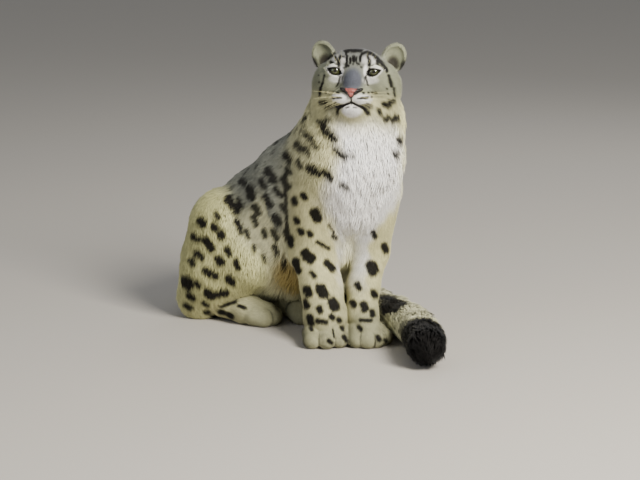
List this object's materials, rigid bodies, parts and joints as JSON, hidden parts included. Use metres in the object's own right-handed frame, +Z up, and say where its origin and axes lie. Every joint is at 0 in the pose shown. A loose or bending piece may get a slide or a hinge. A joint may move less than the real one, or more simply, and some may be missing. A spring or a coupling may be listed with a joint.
{
  "type": "snow leopard",
  "caption": "Life-size snow leopard sitting upright with its head raised, forepaws together and its thick tail laid round to the front.",
  "frame": {"origin": "middle of the footprint on the floor", "axes": "+Z up, out of the floor; the face and forepaws look along -Y; the animal's right side is at -X"},
  "size_m": [0.6404, 0.794, 0.6936],
  "materials": {
    "coat": "dense soft fur, pale cream and grey with dark spots and rosettes",
    "face_coat": "short fur, pale grey with black marks",
    "bib_coat": "long soft white fur",
    "tail_tip": "long thick black fur",
    "nose_leather": "moist pebbled skin, pink with black edges",
    "eye": "wet gloss over a grey-green iris"
  },
  "bodies": {
    "root": {"head": "face_coat", "nose": "nose_leather", "eye_right": "eye", "eye_left": "eye", "ear_right": "face_coat", "ear_left": "face_coat", "neck": "bib_coat", "torso": "coat", "front_leg_right": "coat", "front_paw_right": "coat", "thigh_right": "coat", "shank_right": "coat", "hind_foot_right": "coat", "front_leg_left": "coat", "front_paw_left": "coat", "thigh_left": "coat", "shank_left": "coat", "hind_foot_left": "coat", "tail_1": "coat", "tail_2": "coat", "tail_3": "coat", "tail_4": "coat", "tail_5": "tail_tip"}
  },
  "joints": []
}
